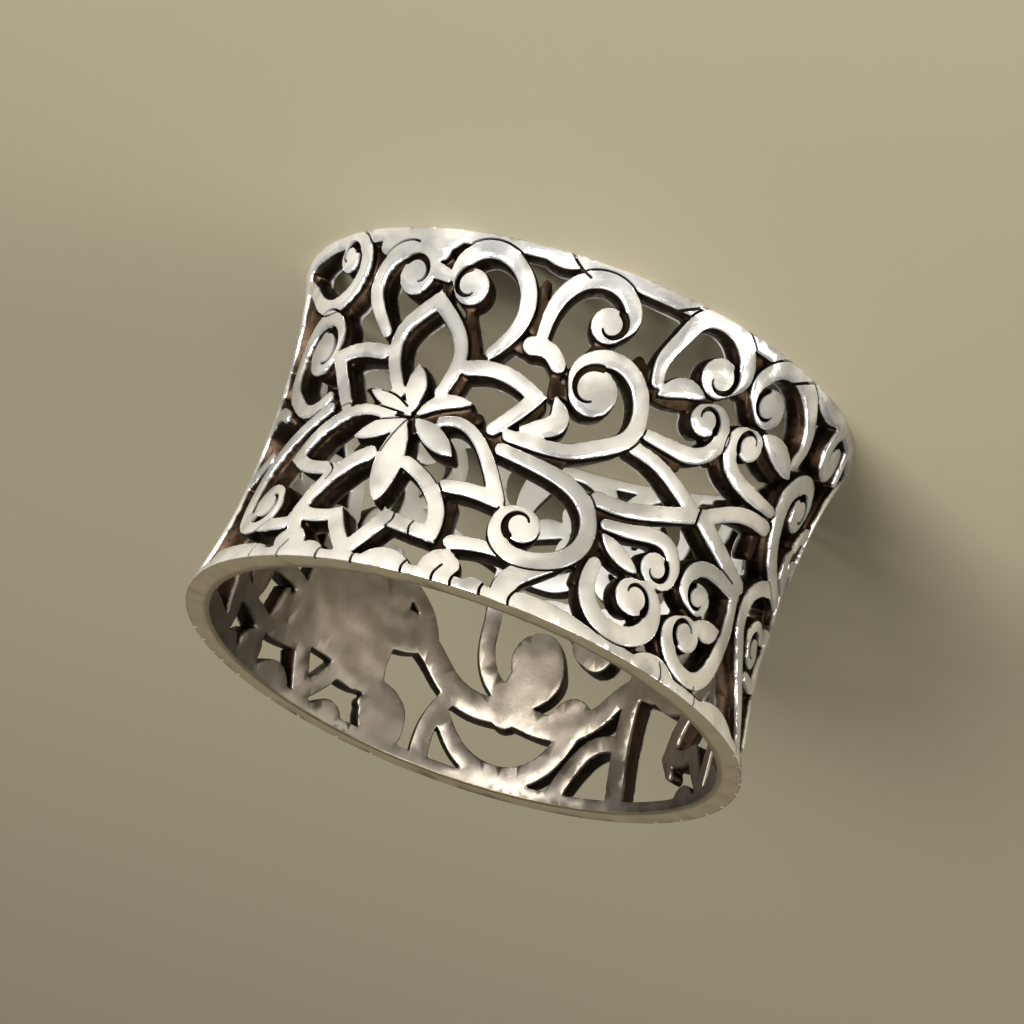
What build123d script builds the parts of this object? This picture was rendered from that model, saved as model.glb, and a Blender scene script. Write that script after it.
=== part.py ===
from build123d import *
from collections import namedtuple
import math
import os

# Openwork ring of cast silver, lying on its far rim.
# The axis is +Z, the floor is z = 0 and the origin is the middle of the face that it rests on.
# Lengths are millimetres. Around is degrees clockwise from the front, seen from above,
# and up is per cent of the band's width above the floor.

# Band
band_width = 12.85
rim_diameter = 20.5
waist_depth = 0.77
bore_diameter = 17.0
rim_wall = 0.9
relief_height = 0.34
rim_band = 0.4

# Ornament
stroke_width = 0.5
ledge = 0.09
pinhole_area = 0.04
relief_root = 0.12
cut_clearance = 0.5
winding_step = 45.0
least_bulge = 0.004
seam_margin = 25.0

rim_radius = rim_diameter / 2
waist_radius = rim_radius - waist_depth
chart_radius = (rim_radius + waist_radius) / 2
bore_radius = bore_diameter / 2
bore_rim_radius = rim_radius - rim_wall

# Widths, bellies, balls and reaches are shares of stroke_width.
# A strand is a ribbon along its route, with a width at its start and its end.
Strand = namedtuple("Strand", "route start end")
# A leaf is a ribbon that swells to its belly and closes to a point at both ends.
Leaf = namedtuple("Leaf", "route belly")
# A scroll runs along its tail and winds in on a round eye, whose radius is ball. Reach is how
# far from the eye the winding starts. Start and turn are degrees, from around towards up.
Scroll = namedtuple("Scroll", "tail eye ball reach start turn width")
# A tie is a strip of the web, below the relief, that joins strokes lying side by side.
Tie = namedtuple("Tie", "route width")

# Around is measured from the flower's heart in the next four tables.
petals = (
    Strand(((-2.5, 19.5), (-6.5, 24), (-9.5, 29), (-9.8, 34), (-8.3, 40), (-5.2, 46.5)), 1.0, 0.8),
    Strand(((-2.5, 19.5), (1.5, 24), (4.7, 29), (6.0, 34), (5.7, 39), (4.5, 45.2)), 1.0, 0.84),
    Strand(((8.6, 36.8), (14, 35.8), (20, 37.3), (24.4, 40.0)), 1.0, 1.0),
    Strand(((24.4, 40.0), (22, 45.2), (18.0, 52.0)), 1.0, 0.84),
    Strand(((7.0, 53.2), (10.8, 52.6), (15.5, 55.6), (19.5, 61.5), (22.4, 67.5), (24.0, 71.3)), 0.6, 1.0),
    Strand(((24.0, 71.4), (18.0, 70.8), (12.8, 71.3)), 1.0, 0.84),
    Strand(((2.8, 66.8), (7.0, 69.8), (11.0, 74.5), (13.6, 81), (13.8, 86.4)), 0.84, 1.1),
    Strand(((13.8, 86.4), (9.0, 85.6), (3.6, 84.2)), 1.0, 1.05),
    Strand(((3.6, 84.2), (1.0, 90), (-1.8, 96.2)), 1.1, 1.0),
    Strand(((-7.8, 85.3), (-5.2, 91), (-1.8, 96.2)), 1.0, 1.0),
    Strand(((-7.8, 85.2), (-13, 85.9), (-18.2, 84.4)), 0.8, 0.96),
    Strand(((-18.2, 84.4), (-16.6, 78), (-13.2, 72), (-9.6, 67.6), (-6.6, 65.5)), 1.0, 1.05),
    Strand(((-27.0, 66.5), (-22.5, 69.6), (-17.5, 70.5), (-13.2, 71.2)), 0.9, 0.9),
    Strand(((-27.0, 66.5), (-24.2, 60.4), (-19.5, 55.5), (-13.5, 52.4), (-5.2, 53.6)), 0.96, 0.6),
    Strand(((-26.0, 35.9), (-22.5, 43), (-18.2, 51.0)), 1.0, 0.8),
    Strand(((-26.0, 35.7), (-19.5, 34.3), (-12.8, 35.0)), 0.9, 1.0),
)
lobes = (
    Leaf(((-0.4, 51.0), (-1.6, 44), (-2.4, 38.6)), 1.5),
    Leaf(((1.2, 52.2), (4.0, 48.8), (11.6, 46.6)), 0.95),
    Leaf(((1.5, 54.2), (5.4, 57.4), (11.4, 62.2)), 1.45),
    Leaf(((-1.0, 55.8), (-1.4, 64), (-0.6, 79)), 2.1),
    Leaf(((-0.8, 54.8), (-6.4, 57.3), (-11.8, 60.6)), 1.25),
    Leaf(((-0.8, 52.6), (-6.2, 49.4), (-12.0, 46.6)), 1.0),
)
# The two scrolls that crown a flower, their bridges, and the swell of the rim at its foot.
crown = (
    Scroll(((-13.6, 29.2), (-16.8, 24)), (-9.6, 13.0), 1.35, 3.6, 165, 135, 1.0),
    Scroll(((12.2, 31.4), (15.6, 24.5)), (3.8, 14.6), 1.25, 4.4, 5, -190, 1.04),
    Strand(((-19, 4.6), (-12, 3.0), (-5, 5.6)), 1.2, 1.4),
    Strand(((-7, 10.5), (-2, 12.4)), 1.2, 0.8),
    Leaf(((2.0, 98.6), (7.0, 96.4), (13.0, 98.6)), 1.5),
    Leaf(((-14.0, 98.8), (-10.0, 97.0), (-6.0, 98.8)), 1.3),
)
flower_ties = (
    Tie(((-2.4, 52.4), (2.4, 53.2)), 2.2),
    Tie(((-2.5, 14), (-2.5, 17)), 0.9),
    Tie(((-7, 9), (-1, 9)), 1.0),
    Tie(((-13, 30), (-11, 33)), 0.9),
    Tie(((11.5, 32), (11, 35)), 0.9),
    Tie(((3.5, 19), (6, 25), (9, 33)), 0.7),
    Tie(((7.6, 37), (6.8, 43), (5, 47)), 0.7),
    Tie(((6, 49.5), (14, 49.5)), 0.8),
    Tie(((17, 53.5), (21, 53.5)), 1.4),
    Tie(((12, 71), (13, 72)), 0.8),
    Tie(((24.8, 72.4), (26, 73.5)), 0.9),
    Tie(((15.6, 76), (16.2, 84), (16.8, 90)), 0.8),
    Tie(((-19.5, 85), (-17, 90)), 0.8),
)

# Around is measured from the front from here on.
scrolls = (
    Scroll(((-9.6, 23.2), (-9.4, 16)), (2.4, 15.0), 1.2, 3.5, -140, 165, 1.0),
    Strand(((-11.0, 26.6), (-7.4, 26.6), (-4.6, 29.6)), 1.2, 1.0),
    Leaf(((-2.6, 38.6), (-0.6, 44.0), (-7.4, 49.7)), 1.4),
    Scroll(((-9.4, 52.6), (-2.5, 52.6), (4, 51.0), (9, 47.3)), (4.0, 33.4), 1.7, 4.1, 28, -222, 1.08),
    Leaf(((-15, 1.2), (-10, 2.0), (-5, 1.0)), 1.0),
    Strand(((6, 2.0), (17, 2.0)), 0.8, 0.8),
)
low_scroll = (
    Scroll(((-9.8, 56.9), (-3, 58.0), (4, 59.4), (9.6, 62.8), (12.6, 69), (12.2, 76), (8.8, 81.5)),
           (-0.3, 76.0), 1.25, 2.8, 48, 215, 1.12),
    Strand(((8.8, 81.8), (3.6, 88), (0.6, 93.5), (0.6, 97.6)), 1.2, 1.5),
    Strand(((1.5, 86.6), (-5.5, 85.6), (-12.4, 87.0)), 0.5, 1.0),
    Strand(((4.6, 97.2), (12, 97.0), (19.6, 98.4)), 1.3, 0.9),
)
rim_curl = (
    Scroll(((-9.0, 98.2), (-13.0, 98.0)), (-11.4, 94.2), 0.8, 1.5, 150, 140, 0.84),
    Leaf(((-8.0, 98.8), (-5.0, 97.6), (-2.0, 98.8)), 1.1),
)
scroll_ties = (
    Tie(((-12.4, 9), (-11.6, 22)), 0.7),
    Tie(((-13.6, 27), (-10.5, 27)), 0.9),
    Tie(((-4.6, 30), (-3.8, 37)), 0.8),
    Tie(((-4, 34), (-1, 36)), 0.8),
    Tie(((2.5, 18), (3, 23)), 0.8),
    Tie(((1.5, 21), (-1.8, 30)), 0.6),
    Tie(((-5, 41), (-7, 49)), 0.7),
    Tie(((-11, 54.5), (3, 54.5)), 0.7),
    Tie(((13, 59), (15, 66)), 0.8),
    Tie(((15.2, 66), (15.6, 76)), 0.7),
    Tie(((14.6, 76), (14, 84)), 0.7),
    Tie(((11, 20), (16.4, 25.5)), 0.8),
)
# The group between two scroll pairs. Its halves face each other across its axis.
left_half = (
    Scroll(((15.8, 23.6), (15.3, 18.0), (17.2, 10.5)), (28.0, 14.8), 1.35, 4.1, -132, 165, 1.08),
    Leaf(((17.2, 26.3), (21.6, 21.8), (26.4, 21.6)), 1.3),
    Scroll(((18.2, 38.0), (23.5, 38.0)), (28.8, 26.6), 1.1, 2.75, 92, -190, 1.04),
    Strand(((16.4, 43.0), (22, 44.0), (27.5, 46.6), (35.2, 51.2)), 0.8, 1.0),
    Strand(((35.2, 51.2), (29.5, 54.6), (24, 57.6), (19, 59.8), (12.6, 60.6)), 1.0, 1.0),
    Scroll(((16.0, 66.2), (22, 64.7), (27.5, 62.6)), (29.4, 71.0), 1.1, 2.1, -72, 165, 1.0),
    Leaf(((16.2, 69.4), (20.0, 72.0), (25.2, 74.8)), 1.1),
    Scroll(((16.2, 78.2), (15.9, 84.0), (17.9, 90.2)), (26.2, 81.6), 1.3, 3.4, 115, -200, 1.3),
    Leaf(((29, 98.8), (35.2, 96.6), (41, 98.8)), 1.5),
)
right_half = (
    Scroll(((56.9, 20.6), (57.6, 14), (54.8, 8)), (42.3, 14), 1.35, 3.8, -46, -165, 1.08),
    Leaf(((44.4, 20.6), (50.6, 21.6), (56.8, 24.6)), 1.55),
    Scroll(((56.2, 35.6), (50, 36.1)), (41.8, 25.4), 1.1, 2.85, 71, 170, 1.04),
    Strand(((37, 50.6), (41.5, 46.6), (47.5, 42.6), (56.6, 40.4)), 1.0, 1.0),
    Strand(((37, 50.6), (41.6, 53.6), (47.6, 56.8), (54.4, 59.6)), 1.2, 1.1),
    Scroll(((54.4, 62.8), (49.6, 62.3)), (42.6, 71.4), 1.1, 2.55, -74, -165, 1.0),
    Leaf(((43.4, 77.8), (47.6, 77.6), (51.2, 75.0)), 1.5),
    Scroll(((54.0, 63.5), (54.7, 72), (53.2, 80.5), (50.6, 88.0)), (41.6, 82.4),
           1.25, 3.2, 59, 170, 1.12),
    Leaf(((48, 98.6), (56, 96.6), (67, 98.6)), 1.3),
    Leaf(((53, 1.0), (59.5, 2.2), (66, 1.0)), 1.2),
)
half_ties = (
    Tie(((17, 27), (22, 26.4), (26, 24)), 0.6),
    Tie(((28.5, 19.5), (28.5, 22)), 0.9),
    Tie(((16.8, 39.6), (27.5, 41.6)), 0.6),
    Tie(((14.5, 63.2), (26, 60.8)), 0.6),
    Tie(((16, 67), (16.4, 69)), 0.9),
    Tie(((25.5, 73), (27, 75)), 0.9),
    Tie(((29.5, 75), (29.5, 77.5)), 0.9),
    Tie(((21, 96), (31, 98)), 0.7),
)
axis_ties = (
    Tie(((35.6, 3), (35.6, 14)), 0.9),
    Tie(((35.7, 27), (35.7, 34)), 0.9),
    Tie(((35.6, 50), (38, 50)), 1.0),
    Tie(((35.5, 66), (36, 71)), 0.9),
    Tie(((33.6, 84), (35.5, 88)), 0.9),
)
left_scrolls = (
    Scroll(((-86, 6.5), (-79, 10.5), (-72.5, 16.5), (-66, 19.4)), (-62.0, 6.4),
           1.0, 2.6, 62, -220, 1.0),
    Scroll(((-56, 48), (-59.5, 51.0), (-63.8, 51.0), (-68.8, 47.3)), (-63.8, 33.4),
           1.7, 4.1, 152, 222, 1.08),
    Scroll(((-54, 51.5), (-60, 56.6), (-65.4, 62.6), (-68.8, 69.6)), (-60.8, 80.6),
           1.45, 2.9, 185, -190, 1.0),
    Strand(((-66, 85), (-60, 88.2), (-51.6, 88.4)), 0.9, 0.9),
    Strand(((-71, 96.6), (-64, 96.8), (-56.4, 97.4)), 1.2, 1.2),
    Strand(((-49.5, 86), (-46.5, 93)), 0.9, 0.9),
    Leaf(((-40, 0.6), (-35, 3.4), (-31, 1.0)), 1.0),
)
right_scrolls = (
    Scroll(((78, 50.4), (71, 48.8), (64.8, 44.6)), (68.3, 28.6), 1.25, 3.3, 138, 235, 1.4),
    Strand(((72, 50.2), (65, 53.4), (60.6, 58.5), (59.4, 65.5), (62.2, 74), (66.4, 82.4), (70, 90.5),
            (71.6, 97.0)), 1.0, 1.2),
    Scroll(((84, 58.5), (78.5, 60.2)), (69.4, 69.6), 1.2, 2.2, -50, -140, 1.0),
    Strand(((69, 77.6), (75, 76.6), (82, 72)), 0.8, 1.1),
    Scroll(((81.6, 9.5), (78.6, 4.2)), (71.8, 8.8), 0.85, 2.5, -55, -335, 1.0),
    Strand(((82.0, 27.5), (78.4, 29.5), (76.2, 33.5)), 1.1, 1.0),
    Leaf(((75, 36), (73.6, 41.0), (80, 46.0)), 1.3),
)
side_ties = (
    Tie(((-56, 48), (-52, 51)), 1.0),
    Tie(((-52.6, 3), (-52.6, 12)), 0.9),
    Tie(((-62, 21.5), (-66, 23)), 0.9),
    Tie(((57.5, 30), (57.5, 48)), 0.9),
    Tie(((56, 60), (58, 64)), 1.0),
)
# The hidden back, between the flowers on both sides of it.
back_scrolls = (
    Scroll(((180.0, 3.0), (181.5, 16), (179.6, 30), (180.2, 42), (179.0, 52)),
           (165.2, 61.4), 2.0, 4.4, 0, 200, 1.0),
    Strand(((131, 66), (138.5, 65), (144, 71.5), (150, 77.5), (158, 79.4), (167, 77.6)), 1.2, 1.5),
    Strand(((167, 77.6), (176, 78.6), (184, 75.0), (190, 69.0), (198, 64.0)), 1.5, 1.5),
    Strand(((167.4, 66), (168.6, 78)), 1.6, 2.2),
    Leaf(((147.5, 75.4), (152.5, 75.4), (157.5, 76.4)), 2.6),
    Strand(((137.4, 63), (137.4, 80), (136.2, 97.5)), 1.1, 1.3),
    Strand(((138.0, 81.0), (144.4, 82.2), (149.2, 89), (152.4, 97.4)), 0.8, 1.0),
    Strand(((152.0, 80.6), (155.4, 88.4), (160.5, 94.0), (169.5, 95.6), (177, 91.6), (182.4, 84.4)),
           1.4, 0.8),
    Strand(((182.0, 78), (184.6, 86), (184.4, 97.6)), 1.0, 1.1),
    Leaf(((190.6, 98.4), (195.6, 91.0), (199.0, 83.0)), 3.4),
    Scroll(((138.4, 64), (138.2, 55.0)), (151.0, 55.0), 1.4, 3.9, -150, 200, 1.0),
    Strand(((146, 43.4), (154, 45.2), (161, 43.0)), 0.8, 0.8),
    Strand(((180.0, 43.0), (172.0, 46.8), (163.8, 45.2), (158.6, 50.4)), 0.8, 1.0),
    Strand(((131.5, 3), (129.6, 14), (131.4, 25), (135.0, 33.4), (139.0, 45.0)), 1.0, 0.9),
    Strand(((128.5, 44.4), (134, 49.6), (138.4, 57.4)), 0.9, 0.9),
    Strand(((181.4, 23), (186.0, 20), (188.6, 12), (187.0, 2.0)), 0.9, 1.0),
    Strand(((180.4, 37), (186.4, 35.0), (192.0, 37.0)), 0.9, 0.9),
    Strand(((268.4, 56.0), (273.4, 50.0), (270.4, 41.0), (262.6, 37.0)), 0.9, 1.0),
    Strand(((273.4, 50.0), (280.4, 47.6), (287.4, 50.4)), 1.0, 0.8),
    Strand(((266.0, 76.0), (272.6, 68.6), (281.0, 67.6), (288.6, 64.0)), 1.0, 0.9),
    Strand(((273.0, 68.4), (270.8, 58.6), (273.4, 50.0)), 0.9, 0.9),
    Strand(((276.6, 68.2), (279.4, 80.0), (273.6, 97.4)), 1.0, 1.2),
    Strand(((262.0, 22.0), (267.6, 28.0), (272.6, 20.0), (273.6, 3.0)), 0.9, 1.1),
    Strand(((267.2, 27.6), (268.4, 34.4), (264.0, 38.0)), 0.9, 0.9),
)
plate_from = 199.0
plate_to = 229.0
plate_low = 55.0
plate_high = 84.0

group_axis = 35.7
low_axis = -29.9
flower_at = -31.0
mirrored_flower_at = 102.4
back_flower_at = 218.0
back_group_shift = 124.3
back_scrolls_shift = 249.0


def moved(rows, place, flip):
    """The rows with each of their places moved, wound the other way where they are flipped."""
    result = []
    for row in rows:
        if isinstance(row, Scroll):
            start, turn = (180 - row.start, -row.turn) if flip else (row.start, row.turn)
            result.append(row._replace(tail=tuple(place(p) for p in row.tail), eye=place(row.eye),
                                       start=start, turn=turn))
        else:
            result.append(row._replace(route=tuple(place(p) for p in row.route)))
    return result


def turned(rows, shift):
    """The rows moved around the band by an angle."""
    return moved(rows, lambda p: (p[0] + shift, p[1]), False)


def mirrored(rows, axis):
    """The rows mirrored about an axis, given by its place around the band."""
    return moved(rows, lambda p: (2 * axis - p[0], p[1]), True)


def ornament():
    """Every stroke and tie of the band, in degrees around from the front."""
    flower = petals + lobes + crown + flower_ties
    pair = scrolls + low_scroll + rim_curl + scroll_ties
    rows = turned(flower, flower_at)
    rows += turned(mirrored(flower, 0), mirrored_flower_at)
    rows += turned(flower, back_flower_at)
    rows += pair + left_half + right_half + half_ties + axis_ties
    rows += mirrored(half_ties, group_axis)
    rows += left_scrolls + right_scrolls + side_ties
    rows += mirrored(rim_curl, low_axis)
    rows += back_scrolls
    rows += turned(left_half[:3], back_group_shift)
    rows += mirrored(turned(left_half[:3], back_group_shift), group_axis + back_group_shift)
    rows += turned(pair, back_scrolls_shift)
    return rows


def surface_radius(up_length):
    """The radius of the outer surface at a height above the floor."""
    half = band_width / 2
    bow = (half * half + waist_depth * waist_depth) / (2 * waist_depth)
    off_middle = up_length - half
    return waist_radius + bow - math.sqrt(bow * bow - off_middle * off_middle)


def chart(place):
    """A place of the tables on the flat chart."""
    return Vector(math.radians(place[0]) * chart_radius, place[1] / 100 * band_width)


def bent(middle):
    """Carries points of the flat chart to the plane that touches the band at the middle angle,
    so that they fall in their places on the web's surface."""
    def carry(point):
        angle = point.X / chart_radius - math.radians(middle)
        return Vector((surface_radius(point.Y) - relief_height) * math.sin(angle), point.Y)
    return carry


def touching_plane(middle):
    """The upright plane outside the band at an angle, facing the axis."""
    angle = math.radians(middle)
    out = rim_radius + cut_clearance
    return Plane(origin=(-out * math.sin(angle), -out * math.cos(angle), 0),
                 x_dir=(-math.cos(angle), math.sin(angle), 0),
                 z_dir=(math.sin(angle), math.cos(angle), 0))


def side(near_end, between, far_end):
    """An arc through three points, or a line where the arc would hardly bulge."""
    chord = far_end - near_end
    if chord.cross(between - near_end).length < least_bulge * chord.length:
        Line(near_end, far_end)
    else:
        ThreePointArc(near_end, between, far_end)


def ribbon(points, width_at, carry):
    """A ribbon with round ends along the points. Each of its long sides is a chain of arcs."""
    with BuildLine() as route:
        if len(points) == 2:
            Line(*points)
        else:
            Spline(*points)
    line = route.edges()[0]
    steps = 1 if len(points) == 2 else 2 * (len(points) // 2 + 1)
    left, right = [], []
    for step in range(steps + 1):
        share = step / steps
        half = width_at(share) / 2
        along = line % share
        aside = Vector(-along.Y, along.X) * half
        left.append(carry(line @ share + aside))
        right.append(carry(line @ share - aside))
    start_tip = carry(line @ 0 - (line % 0) * (width_at(0) / 2))
    end_tip = carry(line @ 1 + (line % 1) * (width_at(1) / 2))
    with BuildSketch() as strip:
        with BuildLine():
            for places in (left, right):
                if steps == 1:
                    Line(*places)
                for first in range(0, steps - 1, 2):
                    side(*places[first:first + 3])
            ThreePointArc(left[0], start_tip, right[0])
            ThreePointArc(left[-1], end_tip, right[-1])
        make_face()
    return strip.sketch


def carried(face, carry):
    """A face with sides of lines and arcs, with its corners and the middles of its sides carried."""
    with BuildSketch() as result:
        with BuildLine():
            for edge in face.outer_wire().edges():
                side(carry(edge @ 0), carry(edge @ 0.5), carry(edge @ 1))
        make_face()
    return result.sketch


def stroke(row, grow, carry):
    """The outline of a row, grown on each side, as one or two sketches."""
    if isinstance(row, Scroll):
        eye = chart(row.eye)
        width = row.width * stroke_width
        last = row.ball * stroke_width - width / 2
        steps = max(3, int(abs(row.turn) / winding_step))
        points = [chart(place) for place in row.tail]
        for step in range(steps + 1):
            share = step / steps
            angle = math.radians(row.start + row.turn * share)
            away = row.reach * stroke_width * (1 - share) + last * share
            points.append(eye + Vector(math.cos(angle), math.sin(angle)) * away)
        with BuildSketch() as ball:
            with Locations(carry(eye)):
                Circle(row.ball * stroke_width + grow)

        def scroll_width(share):
            thinned = width * min(1, 0.7 + 0.9 * share) + 2 * grow
            room_at_eye = 1.6 * last + 10 * stroke_width * (1 - share)
            return min(thinned, room_at_eye)

        return [ribbon(points, scroll_width, carry), ball.sketch]

    def row_width(share):
        if isinstance(row, Leaf):
            return row.belly * stroke_width * max(math.sin(math.pi * share), 0.03) ** 0.6 + 2 * grow
        if isinstance(row, Tie):
            return row.width * stroke_width
        return (row.start + (row.end - row.start) * share) * stroke_width + 2 * grow

    return [ribbon([chart(place) for place in row.route], row_width, carry)]


def middle_of(row):
    """The angle in the middle of a row's reach around the band."""
    places = row.tail + (row.eye,) if isinstance(row, Scroll) else row.route
    angles = [place[0] for place in places]
    return (min(angles) + max(angles)) / 2


def flat(point):
    """Leaves a point where it lies on the flat chart."""
    return point


def layer(inner_waist, inner_rim, outer_waist, outer_rim):
    """The half section of a waisted ring between two depths, to be revolved about the axis."""
    with BuildSketch() as section:
        with BuildLine():
            ThreePointArc((inner_rim, 0), (inner_waist, band_width / 2), (inner_rim, band_width))
            Line((inner_rim, band_width), (outer_rim, band_width))
            ThreePointArc((outer_rim, band_width), (outer_waist, band_width / 2), (outer_rim, 0))
            Line((outer_rim, 0), (inner_rim, 0))
        make_face()
    return section.sketch


full_turn = 2 * math.pi * chart_radius
rows = ornament()
strokes = [row for row in rows if not isinstance(row, Tie)]
all_round = rows + turned(rows, -360)
near = [row for row in all_round if abs(middle_of(row)) < 180 + seam_margin]

# The gaps on the flat chart, from a little before the seam at the back to a little past it:
# what the web's strips and the bare plate leave open between the rims.
with BuildSketch() as gaps:
    with Locations((0, band_width / 2)):
        Rectangle(full_turn * (1 + 2 * seam_margin / 360), band_width - 2 * rim_band)
    plate_middle = (plate_from + plate_to) / 2 - 360
    with Locations(chart((plate_middle, (plate_low + plate_high) / 2))):
        Rectangle(math.radians(plate_to - plate_from) * chart_radius,
                  (plate_high - plate_low) / 100 * band_width, mode=Mode.SUBTRACT)
    add([outline for row in near for outline in stroke(row, ledge, flat)], mode=Mode.SUBTRACT)

wall = rim_wall + waist_depth + 2 * cut_clearance
with BuildPart() as pierced:
    with BuildSketch(Plane.XZ):
        add(layer(bore_radius, bore_rim_radius, waist_radius - relief_height, rim_radius - relief_height))
    revolve(axis=Axis.Z)
    for gap in gaps.faces():
        middle = math.degrees(gap.center().X / chart_radius)
        if gap.area > pinhole_area and -180 <= middle < 180:
            with BuildSketch(touching_plane(middle)):
                add(carried(gap, bent(middle)))
    extrude(amount=wall, mode=Mode.SUBTRACT)

root_waist = waist_radius - relief_height - relief_root
root_rim = rim_radius - relief_height - relief_root
with BuildPart() as relief:
    for row in strokes:
        middle = middle_of(row)
        with BuildSketch(touching_plane(middle)):
            add(stroke(row, 0.0, bent(middle)))
    extrude(amount=wall)
    with BuildSketch(Plane.XZ):
        for low in (0, band_width - rim_band):
            with Locations(((root_waist + rim_radius + cut_clearance) / 2, low + rim_band / 2)):
                Rectangle(rim_radius + cut_clearance - root_waist, rim_band)
    revolve(axis=Axis.Z)
    with BuildSketch(Plane.XZ):
        add(layer(root_waist, root_rim, waist_radius, rim_radius))
    revolve(axis=Axis.Z, mode=Mode.INTERSECT)

with BuildPart() as openwork_band:
    add(pierced.part)
    add(relief.part)

os.makedirs("parts", exist_ok=True)
openwork_band.part.label = "openwork_band"
export_step(openwork_band.part, "parts/openwork_band.step")
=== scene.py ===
# An openwork ring of cast silver, lying on its far rim on a plain pale floor.
# Everything is in metres, in the frame of the solid model: the axis is +Z and the floor is z = 0.
import math
from collections import namedtuple

import bpy
import numpy as np
from mathutils import Matrix, Vector


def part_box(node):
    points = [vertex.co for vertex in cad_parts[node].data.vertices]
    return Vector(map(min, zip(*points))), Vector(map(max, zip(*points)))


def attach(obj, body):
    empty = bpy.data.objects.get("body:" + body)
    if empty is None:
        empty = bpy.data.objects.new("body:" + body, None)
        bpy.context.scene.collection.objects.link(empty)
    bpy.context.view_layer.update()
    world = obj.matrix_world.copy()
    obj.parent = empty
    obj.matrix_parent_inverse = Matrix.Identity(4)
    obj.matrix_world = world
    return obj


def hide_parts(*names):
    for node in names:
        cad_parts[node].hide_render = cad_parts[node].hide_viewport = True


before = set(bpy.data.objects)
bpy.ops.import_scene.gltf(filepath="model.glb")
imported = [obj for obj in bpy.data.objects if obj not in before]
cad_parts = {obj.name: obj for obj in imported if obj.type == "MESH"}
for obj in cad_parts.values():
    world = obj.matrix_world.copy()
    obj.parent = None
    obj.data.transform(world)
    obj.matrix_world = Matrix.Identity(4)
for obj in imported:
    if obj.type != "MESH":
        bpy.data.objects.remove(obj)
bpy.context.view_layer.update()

MM = 0.001

# Band, the same sizes as the solid's
ring_low, ring_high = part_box("openwork_band")
band_width = ring_high.z - ring_low.z
rim_radius = (ring_high.x - ring_low.x) / 2
waist_depth = 0.77 * MM
bore_radius = 8.5 * MM
bore_rim_radius = 9.35 * MM
relief_height = 0.34 * MM
rim_band = 0.4 * MM

# Ornament
stroke_width = 0.5 * MM
ledge = 0.09 * MM
relief_root = 0.12 * MM
winding_step = 45.0
chart_radius = rim_radius - waist_depth / 2

# Strokes: their routes' spacing, how much the casting grows them, and how far their tops are domed
path_spacing = 0.1 * MM
growth = 0.03 * MM
dome = 0.025 * MM
# How far the strokes keep from the rims' end faces
end_room = 0.06 * MM
# A scroll starts at this share of its width, and how fast it then widens
start_share = 0.7
widening = 0.9
# A winding narrows to this many times its distance from the eye, and is free of that limit where
# it starts.
winding_share = 1.6
free_share = 10
# How blunt a leaf's ends are, and how full its sides
leaf_end = 0.03
leaf_fullness = 0.6

# Strand ends closer than this meet. They get a tip, unless they come from nearly opposite sides.
meeting_room = 0.12 * MM
cut_off_corner = -0.45
# The tip's reach and its width, as shares of the strands' widths
tip_reach = 0.8
tip_width = 0.8
tip_end = 0.05
tip_points = 6

# The hooked slit in a scroll's eye: its width and how that changes along it, how far around the eye
# it turns, where it begins before the winding closes, and how deep it dives into the eye
slit_width = 0.15 * MM
slit_start = 2.1
slit_narrows = 1.5
slit_turn = 190.0
slit_lead = 25.0
slit_outside = 1.04
slit_dive = 0.62
slit_curl = 1.4
slit_points = 16
# A scroll whose eye is no larger than this share of stroke_width has no slit and no groove.
small_eye = 0.9

# The grooves along a scroll's outer side start and end at these lengths from its ends.
groove_width = 0.095 * MM
groove_depth = 0.24 * MM
groove_from = 0.7 * MM
groove_short = 0.9 * MM
fewest_groove_points = 6
# Cuts closer than this many groove widths go into different cutters.
cut_room = 3
notch_depth = 0.2 * MM
# How far a cut may run past the rims' end faces, and how far it starts above the band
past_ends = 0.1 * MM
above_band = 0.3 * MM

# The casting's grain, and the angle from which an edge stays sharp
grain = 0.045 * MM
soften_rounds = 2
soften_share = 0.5
triangle_limit = 150000
crease = math.radians(50.0)
normal_weight = 80
rim_steps = 360
web_section_cuts = 3
raised_section_cuts = 5

# Surfaces around the axis, each a (rim radius, waist) pair
outer_surface = (rim_radius, waist_depth)
web_surface = (rim_radius - relief_height, waist_depth)
root_surface = (rim_radius - relief_height - relief_root, waist_depth)
bore_surface = (bore_rim_radius, bore_rim_radius - bore_radius)
above_surface = (rim_radius + above_band, waist_depth)
groove_floor = (rim_radius - groove_depth, waist_depth)
notch_floor = (rim_radius - notch_depth, waist_depth)

# Widths, bellies, balls and reaches are shares of stroke_width.
# A strand is a ribbon along its route, with a width at its start and its end.
Strand = namedtuple("Strand", "route start end")
# A leaf is a ribbon that swells to its belly and closes to a point at both ends.
Leaf = namedtuple("Leaf", "route belly")
# A scroll runs along its tail and winds in on a round eye, whose radius is ball. Reach is how
# far from the eye the winding starts. Start and turn are degrees, from around towards up.
Scroll = namedtuple("Scroll", "tail eye ball reach start turn width")
# A tie is a strip of the web, below the relief, that joins strokes lying side by side.
Tie = namedtuple("Tie", "route width")

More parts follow.
